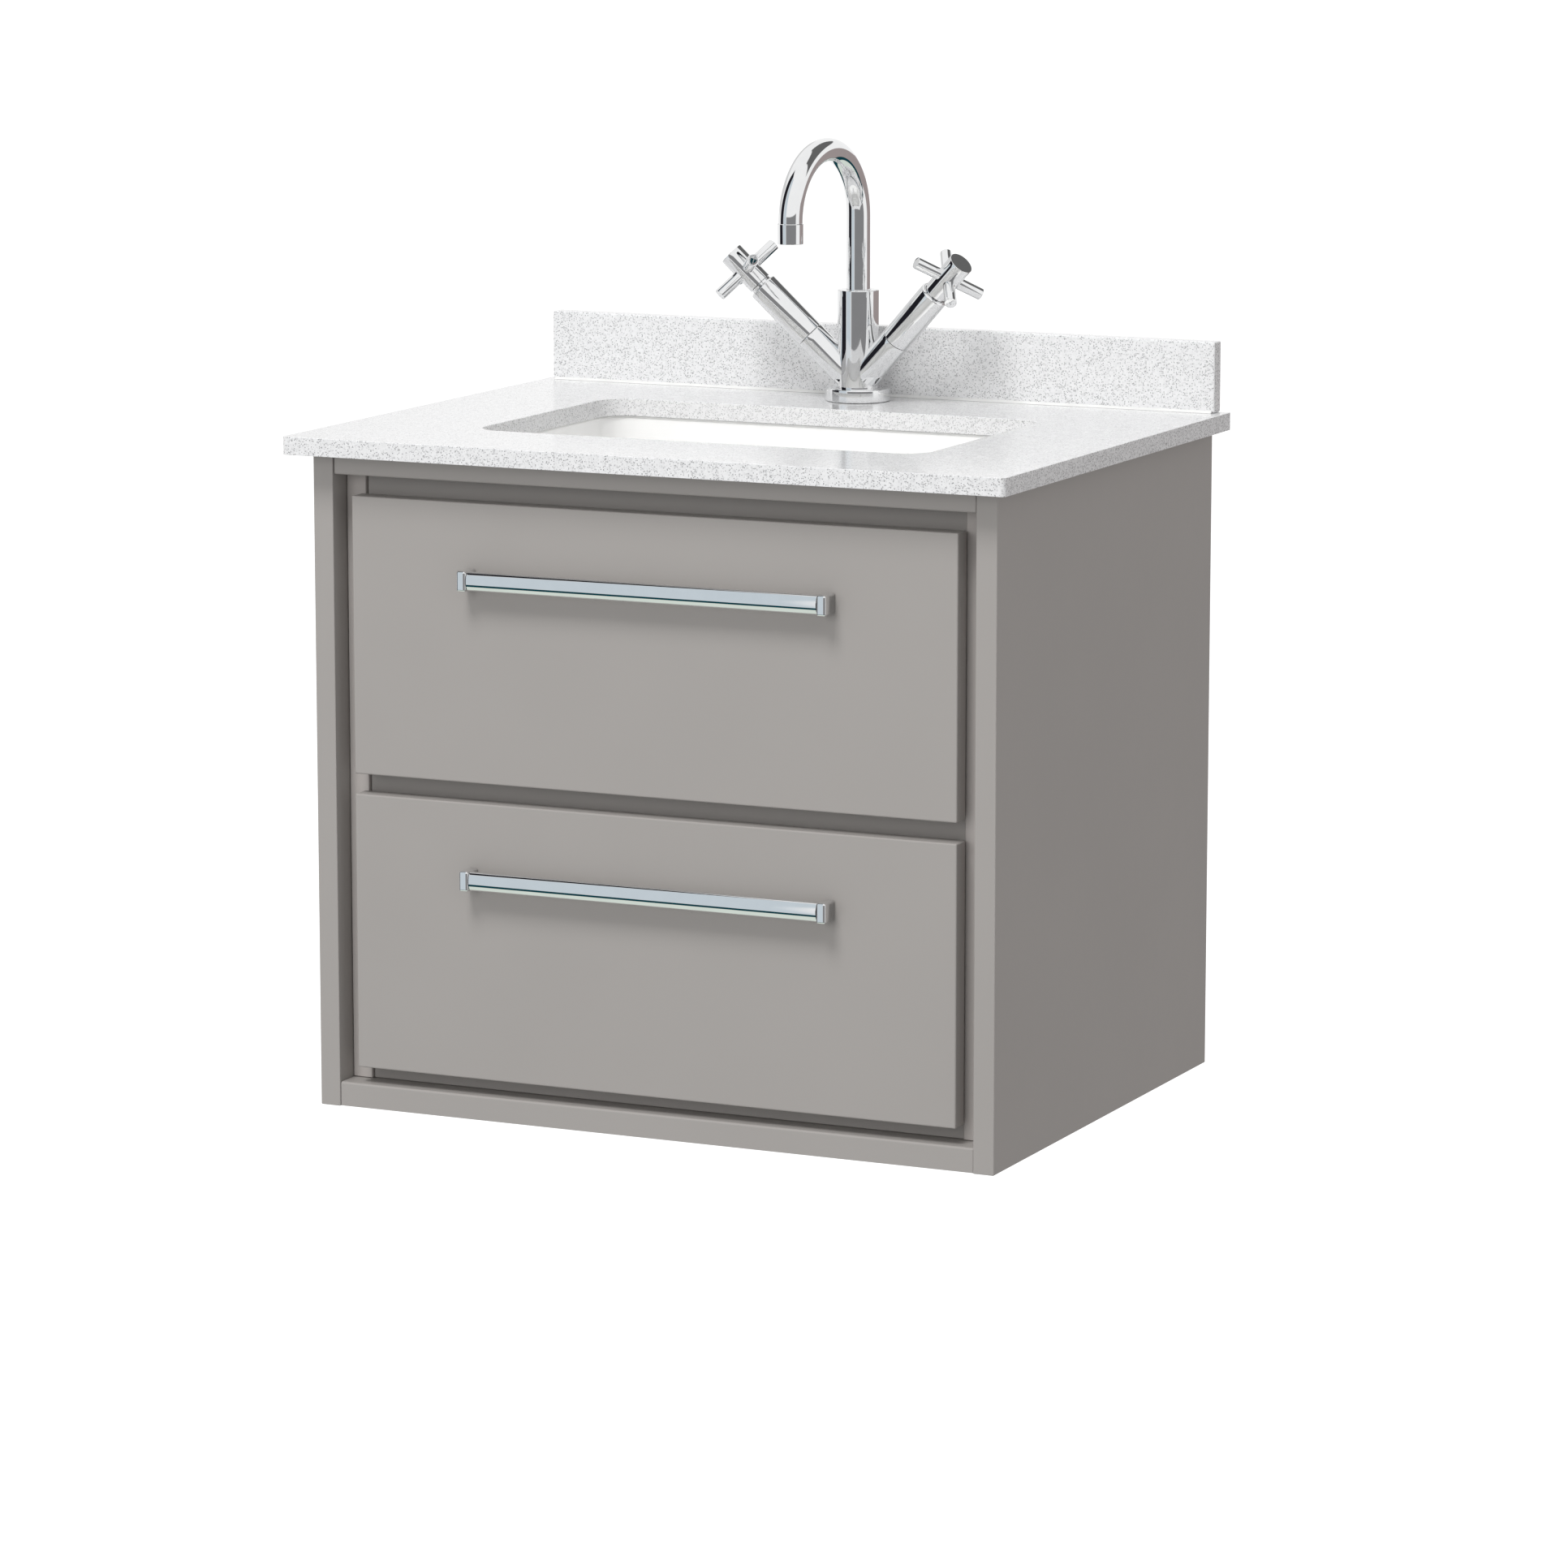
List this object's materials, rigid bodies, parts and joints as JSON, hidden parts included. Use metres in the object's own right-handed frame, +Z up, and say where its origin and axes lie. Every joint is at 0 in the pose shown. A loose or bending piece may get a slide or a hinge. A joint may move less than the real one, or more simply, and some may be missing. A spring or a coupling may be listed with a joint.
{
  "type": "bathroom vanity cabinet",
  "caption": "Wall-hung bathroom vanity with pull-out drawers in a face frame, stone worktop with upstand, undermount basin, swan-neck mixer tap and bar handles.",
  "frame": {"origin": "on the wall plane, at the middle of the hanging rail's back face", "axes": "+X to the right when facing the cabinet, +Y into the wall, +Z up; the drawers open along -Y"},
  "size_m": [0.642, 0.486, 0.7912],
  "materials": {
    "matt_board": "warm grey satin lacquer on board",
    "inner_board": "warm grey matt board, unlit inner faces",
    "drawer_board": "grey foil-faced drawer board",
    "quartz": "polished white composite stone with fine grey flecks",
    "ceramic": "white gloss glaze",
    "chrome": "polished chrome plate",
    "zinc_steel": "zinc-plated steel",
    "trap_plastic": "white moulded plastic"
  },
  "bodies": {
    "cabinet": {"end_panel_left": "matt_board", "end_panel_right": "matt_board", "face_rail_top": "matt_board", "face_rail_bottom": "matt_board", "carcass_side_left": "matt_board", "carcass_side_right": "matt_board", "carcass_bottom": "matt_board", "hanging_rail": "matt_board", "recess_rail_top": "inner_board", "recess_rail_middle": "inner_board", "back_panel": "inner_board", "hanger_left": "zinc_steel", "hanger_right": "zinc_steel", "worktop": "quartz", "upstand": "quartz", "basin": "ceramic", "waste_body": "chrome", "trap_bottle": "trap_plastic", "trap_outlet": "trap_plastic", "tap_flange": "chrome", "tap_body": "chrome", "tap_backnut": "zinc_steel", "tap_sleeve_hot": "chrome", "tap_sleeve_cold": "chrome", "tap_valve_hot": "zinc_steel", "tap_valve_cold": "zinc_steel", "upper_runner_cabinet_left": "zinc_steel", "upper_runner_cabinet_right": "zinc_steel", "lower_runner_cabinet_left": "zinc_steel", "lower_runner_cabinet_right": "zinc_steel"},
    "upper_drawer": {"upper_drawer_front": "matt_board", "upper_drawer_side_left": "drawer_board", "upper_drawer_side_right": "drawer_board", "upper_drawer_bottom": "drawer_board", "upper_drawer_back": "drawer_board", "upper_handle_bar": "chrome", "upper_handle_post_left": "chrome", "upper_handle_post_right": "chrome", "upper_runner_drawer_left": "zinc_steel", "upper_runner_drawer_right": "zinc_steel"},
    "lower_drawer": {"lower_drawer_front": "matt_board", "lower_drawer_side_left": "drawer_board", "lower_drawer_side_right": "drawer_board", "lower_drawer_bottom": "drawer_board", "lower_drawer_back": "drawer_board", "lower_handle_bar": "chrome", "lower_handle_post_left": "chrome", "lower_handle_post_right": "chrome", "lower_runner_drawer_left": "zinc_steel", "lower_runner_drawer_right": "zinc_steel"},
    "upper_runner_middle": {"upper_runner_middle_left": "zinc_steel", "upper_runner_middle_right": "zinc_steel"},
    "lower_runner_middle": {"lower_runner_middle_left": "zinc_steel", "lower_runner_middle_right": "zinc_steel"},
    "tap_spout": {"tap_spout": "chrome", "tap_aerator": "chrome"},
    "tap_handle_hot": {"tap_handle_hot": "chrome"},
    "tap_handle_cold": {"tap_handle_cold": "chrome"},
    "waste_plug": {"waste_plug": "chrome"}
  },
  "joints": [
    {"name": "upper_drawer_slide", "type": "slide", "parent": "cabinet", "child": "upper_drawer", "axis": [0, -1, 0], "range_m": [0, 0.35]},
    {"name": "upper_runner_slide", "type": "slide", "parent": "cabinet", "child": "upper_runner_middle", "axis": [0, -1, 0], "range_m": [0, 0.175]},
    {"name": "lower_drawer_slide", "type": "slide", "parent": "cabinet", "child": "lower_drawer", "axis": [0, -1, 0], "range_m": [0, 0.35]},
    {"name": "lower_runner_slide", "type": "slide", "parent": "cabinet", "child": "lower_runner_middle", "axis": [0, -1, 0], "range_m": [0, 0.175]},
    {"name": "spout_swivel", "type": "hinge", "parent": "cabinet", "child": "tap_spout", "pos_m": [0, -0.052, 0.1826], "axis": [0, 0, 1], "range_deg": [-50, 50]},
    {"name": "hot_tap_turn", "type": "hinge", "parent": "cabinet", "child": "tap_handle_hot", "pos_m": [-0.09408, -0.07574, 0.19782], "axis": [-0.6867, -0.1733, 0.706], "range_deg": [0, 90]},
    {"name": "cold_tap_turn", "type": "hinge", "parent": "cabinet", "child": "tap_handle_cold", "pos_m": [0.09408, -0.07574, 0.19782], "axis": [0.6867, -0.1733, 0.706], "range_deg": [-90, 0]},
    {"name": "plug_lift", "type": "slide", "parent": "cabinet", "child": "waste_plug", "axis": [0, 0, 1], "range_m": [0, 0.008]}
  ],
  "couplings": [
    {"joint": "upper_runner_slide", "follows": "upper_drawer_slide", "ratio": 0.5},
    {"joint": "lower_runner_slide", "follows": "lower_drawer_slide", "ratio": 0.5}
  ]
}
